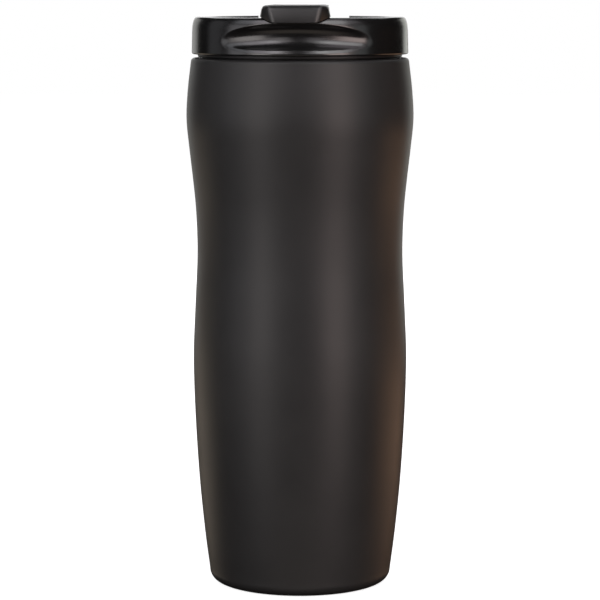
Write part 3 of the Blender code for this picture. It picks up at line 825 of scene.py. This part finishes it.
def makeSealRing():
    outer, waist = sealHigh.x, plug["radius"] - ring["waist"]
    inner = plug["grooveRadius"] + 0.3 * mm
    outline = [(inner, sealLow.z), (waist - 0.2 * mm, sealLow.z), (waist, sealLow.z + 0.2 * mm)]
    half, root, reach = ring["lipHalf"], ring["lipRoot"], outer - waist
    for middle in ring["lips"]:
        height = sealLow.z + middle
        outline += [(waist, height - root), (waist + 0.25 * reach, height - 0.7 * root)]
        outline += arcPoints(outer - half, height, half, -90, 90, 6)
        outline += [(waist + 0.3 * reach, height + half + 0.05 * mm)]
        outline += [(waist, height + half + 0.2 * mm)]
    outline += [(waist, sealHigh.z - 0.2 * mm), (waist - 0.2 * mm, sealHigh.z)]
    outline += [(inner, sealHigh.z)]
    piece = turnPiece("seal_ring", outline, plug["segments"])
    smoothShade(piece, 50)
    paint(piece, "silicone")
    place(piece, "lid", "silicone", "lid_seal")


def makePin():
    piece = hingeRod("steel_pin", hinge["pinRadius"], hinge["halfLength"], 40)
    end = hinge["halfLength"] - 0.1 * mm
    startEdit(piece, "EDGE")
    pickEdges(piece, lambda a, b: abs(a.x - b.x) < 0.01 * mm and abs(a.x) > end)
    bpy.ops.mesh.bevel(offset=0.3 * mm, segments=3)
    endEdit()
    smoothShade(piece, 40)
    paint(piece, "pinSteel")
    place(piece, "lid", "pin_steel", "hinge_pin")


makePlug()
makeSealRing()
makePin()
print("plug, seal and pin done")


# the carrier plate and the two plugs under the lever

holderLow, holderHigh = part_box("seal_holder")
holder = {"plateLow": 195.0 * mm, "rearHalf": 7.9 * mm, "drinkStub": (8.2 * mm, 4.8 * mm),
          "ventStub": 2.2 * mm, "corner": 1.0 * mm, "soft": 0.3 * mm}
stoppers = {"drinkNeck": (6.8 * mm, 3.1 * mm), "ventNeck": (0.9 * mm, 0.9 * mm),
            "pad": 1.6 * mm, "soft": 0.35 * mm}


def makeHolder():
    piece = wedgePiece("stopper_plate", holderHigh.x, holderLow.y, holder["rearHalf"], holderHigh.y,
                       holder["plateLow"], holderHigh.z)
    startEdit(piece, "EDGE")
    pickEdges(piece, lambda a, b: abs(a.z - b.z) > 1 * mm)
    bpy.ops.mesh.bevel(offset=holder["corner"], segments=5)
    endEdit()
    low, rise, stub = holderLow.z, holder["plateLow"] + 0.5 * mm, holder["ventStub"]
    drinkStub = ovalPiece("drinkStub", holes["drinkY"], *holder["drinkStub"], low, rise)
    boolean(piece, drinkStub, "UNION")
    ventStub = ovalPiece("ventStub", holes["ventY"], stub, stub, low, rise, 32)
    boolean(piece, ventStub, "UNION")
    tidyNormals(piece)
    bevelSharp(piece, holder["soft"], 2, 50)
    smoothShade(piece, 40)
    paint(piece, "holderMatte")
    place(piece, "lever", "holder_plastic", "seal_holder")


def makeStopper(name, cadName, centreY, neckX, neckY, segments):
    low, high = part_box(cadName)
    padLow = high.z - stoppers["pad"]
    piece = ovalPiece(name, centreY, high.x, (high.y - low.y) / 2, padLow, high.z, segments)
    neck = ovalPiece("neck", centreY, neckX, neckY, low.z, padLow + 0.4 * mm, segments)
    boolean(piece, neck, "UNION")
    tidyNormals(piece)
    bevelSharp(piece, stoppers["soft"], 3, 50)
    smoothShade(piece, 40)
    paint(piece, "plugSilicone")
    place(piece, "lever", "seal_silicone", cadName)


makeHolder()
makeStopper("drink_stopper", "drink_seal", holes["drinkY"], *stoppers["drinkNeck"], 64)
makeStopper("vent_stopper", "vent_seal", holes["ventY"], *stoppers["ventNeck"], 32)
print("stoppers done")


# pieces that keep the shape of their CAD node

keptNodes = {"outer_base": "spunBase", "evacuation_seal": "solderGrey", "getter_puck": "getterGrey",
             "lid_insulation": "foamWhite"}
for nodeName, finishName in keptNodes.items():
    paint(nodes[nodeName], finishName)
print("kept nodes painted:", len(keptNodes))


# floor, light and camera

def stageMaterial(name, look):
    material, tree, shader = newMaterial(name)
    coordinates = tree.nodes.new("ShaderNodeTexCoord").outputs["Object"]
    patches = noiseOf(tree, coordinates, 3, 2)
    tree.links.new(twoTone(tree, patches, look["dark"], look["light"]), shader.inputs["Base Color"])
    shader.inputs["Roughness"].default_value = look["roughness"]
    shader.inputs["Specular IOR Level"].default_value = 0.0
    shader.inputs["Emission Color"].default_value = (1, 1, 1, 1)
    reach = tree.nodes.new("ShaderNodeVectorMath")
    reach.operation = "LENGTH"
    tree.links.new(coordinates, reach.inputs[0])
    glow = tree.nodes.new("ShaderNodeMapRange")
    glow.inputs["From Min"].default_value, glow.inputs["From Max"].default_value = look["glowReach"]
    glow.inputs["To Min"].default_value, glow.inputs["To Max"].default_value = look["glow"]
    tree.links.new(reach.outputs["Value"], glow.inputs["Value"])
    tree.links.new(glow.outputs["Result"], shader.inputs["Emission Strength"])
    return material


# glow is the floor's own light near the tumbler and far from it, so that it meets the backdrop
studio = {"floorHalf": 4.0, "dark": (0.80, 0.80, 0.80), "light": (0.82, 0.82, 0.82),
          "roughness": 0.9, "glow": (0.86, 1.0), "glowReach": (0.05, 0.6), "air": 1.0}


# seen by the camera only, so that the tumbler reflects nothing but its lights
def makeFloor():
    bpy.ops.mesh.primitive_plane_add(size=2 * studio["floorHalf"],
                                     location=(0, 0, cadLow.z - 0.1 * mm))
    floor = bpy.context.object
    floor.name = "studio_floor"
    applyPlace(floor)
    floor.visible_diffuse = False
    floor.visible_glossy = False
    floor.visible_shadow = False
    floor.data.materials.append(stageMaterial("pale_floor", studio))


makeFloor()

# angles in degrees round the tumbler from its front and up from the level, size in metres
lights = {
    "leftLow": {"azimuth": -39, "elevation": 3, "distance": 1.3, "size": (0.50, 0.80),
                "power": 2.90, "colour": (1.00, 0.94, 0.92)},
    "leftHigh": {"azimuth": -36, "elevation": 38, "distance": 1.3, "size": (0.55, 0.60),
                 "power": 2.00, "colour": (1.00, 0.93, 0.99)},
    "rightLow": {"azimuth": 42, "elevation": 3, "distance": 1.3, "size": (0.55, 0.80),
                 "power": 4.44, "colour": (1.00, 0.83, 0.79)},
    "rightHigh": {"azimuth": 40, "elevation": 38, "distance": 1.3, "size": (0.60, 0.60),
                  "power": 3.10, "colour": (1.00, 0.98, 0.99)},
    "leftInner": {"azimuth": -17, "elevation": 24, "distance": 1.3, "size": (0.35, 0.80),
                  "power": 1.01, "colour": (1.00, 0.93, 0.94)},
    "rightInner": {"azimuth": 17, "elevation": 24, "distance": 1.3, "size": (0.35, 0.80),
                   "power": 0.69, "colour": (1.00, 0.95, 0.99)},
    "leftOuter": {"azimuth": -66, "elevation": 8, "distance": 1.3, "size": (0.50, 0.60),
                  "power": 0.89, "colour": (0.97, 0.96, 1.00)},
    "rightOuter": {"azimuth": 68, "elevation": 8, "distance": 1.3, "size": (0.40, 0.60),
                   "power": 0.34, "colour": (0.93, 0.99, 1.00)},
    "leftOuterHigh": {"azimuth": -62, "elevation": 36, "distance": 1.3, "size": (0.50, 0.50),
                      "power": 0.81, "colour": (0.92, 0.94, 1.00)},
    "rightOuterHigh": {"azimuth": 64, "elevation": 36, "distance": 1.3, "size": (0.40, 0.50),
                       "power": 0.34, "colour": (1.00, 0.94, 0.99)},
    "rightUp": {"azimuth": 64, "elevation": 62, "distance": 1.3, "size": (0.60, 0.40),
                "power": 0.60, "colour": (1.00, 0.90, 0.97)},
    "topFill": {"azimuth": 0, "elevation": 78, "distance": 1.3, "size": (0.60, 0.50),
                "power": 0.35, "colour": (1.00, 1.00, 1.00)},
    "leftSide": {"azimuth": -98, "elevation": 14, "distance": 1.3, "size": (0.50, 0.80),
                 "power": 0.28, "colour": (0.95, 0.96, 1.00)},
    "frontBounce": {"azimuth": 0, "elevation": -38, "distance": 1.0, "size": (1.00, 0.50),
                    "power": 0.43, "colour": (1.00, 0.86, 0.73)},
    "leftBounce": {"azimuth": -126, "elevation": -14, "distance": 1.0, "size": (0.70, 0.26),
                   "power": 0.51, "colour": (1.00, 0.84, 0.67)},
    "rightBounce": {"azimuth": 120, "elevation": -14, "distance": 1.0, "size": (0.90, 0.26),
                    "power": 0.84, "colour": (1.00, 0.59, 0.37)},
    "leftRim": {"azimuth": -150, "elevation": 6, "distance": 1.3, "size": (0.60, 0.60),
                "power": 0.85, "colour": (1.00, 1.00, 0.97)},
    "rightRim": {"azimuth": 156, "elevation": 6, "distance": 1.3, "size": (0.50, 0.60),
                 "power": 0.98, "colour": (0.99, 1.00, 0.94)},
    "backLeft": {"azimuth": -145, "elevation": 50, "distance": 1.3, "size": (0.50, 0.60),
                 "power": 2.00, "colour": (1.00, 1.00, 1.00)},
    "backRight": {"azimuth": 145, "elevation": 50, "distance": 1.3, "size": (0.50, 0.60),
                  "power": 1.40, "colour": (1.00, 1.00, 1.00)},
    "rearFill": {"azimuth": 182, "elevation": 22, "distance": 1.3, "size": (0.70, 0.90),
                 "power": 3.0, "colour": (1.0, 1.0, 1.0)},
    "leftGlint": {"azimuth": -26, "elevation": 36, "distance": 1.3, "size": (0.30, 0.30),
                  "power": 0.35, "colour": (1.00, 1.00, 1.00)},
    "rightGlint": {"azimuth": 25, "elevation": 36, "distance": 1.3, "size": (0.30, 0.30),
                   "power": 0.35, "colour": (1.00, 1.00, 1.00)},
}
aim = Vector((0, 0, (cadLow.z + cadHigh.z) / 2))


def directionOf(azimuth, elevation):
    a, e = math.radians(azimuth), math.radians(elevation)
    return Vector((math.sin(a) * math.cos(e), -math.cos(a) * math.cos(e), math.sin(e)))


def addSoftbox(name, values):
    data = bpy.data.lights.new(name, "AREA")
    data.shape = "RECTANGLE"
    data.size, data.size_y = values["size"]
    data.energy = values["power"]
    data.color = values["colour"]
    lamp = bpy.data.objects.new(name, data)
    lamp.visible_camera = False
    bpy.context.scene.collection.objects.link(lamp)
    toward = directionOf(values["azimuth"], values["elevation"])
    lamp.location = aim + toward * values["distance"]
    lamp.rotation_euler = toward.to_track_quat("Z", "Y").to_euler()


for lightName, values in lights.items():
    addSoftbox(lightName, values)

world = bpy.data.worlds.new("studio_air")
bpy.context.scene.world = world
world.use_nodes = True
world.node_tree.nodes["Background"].inputs["Color"].default_value = (1, 1, 1, 1)
world.node_tree.nodes["Background"].inputs["Strength"].default_value = studio["air"]
world.cycles_visibility.diffuse = False
world.cycles_visibility.glossy = False

view = {"azimuth": 2.8, "distance": 0.9, "height": 206.6 * mm, "pitch": 6.89, "lens": 157.4}


def makeCamera():
    data = bpy.data.cameras.new("portrait_camera")
    data.lens = view["lens"]
    data.clip_start = 0.05
    camera = bpy.data.objects.new("portrait_camera", data)
    bpy.context.scene.collection.objects.link(camera)
    turn = math.radians(view["azimuth"])
    away = view["distance"]
    camera.location = (math.sin(turn) * away, -math.cos(turn) * away, view["height"])
    camera.rotation_euler = (math.radians(90 - view["pitch"]), 0, turn)
    bpy.context.scene.camera = camera


makeCamera()
bpy.context.scene.view_settings.view_transform = "Standard"
print("studio ready")
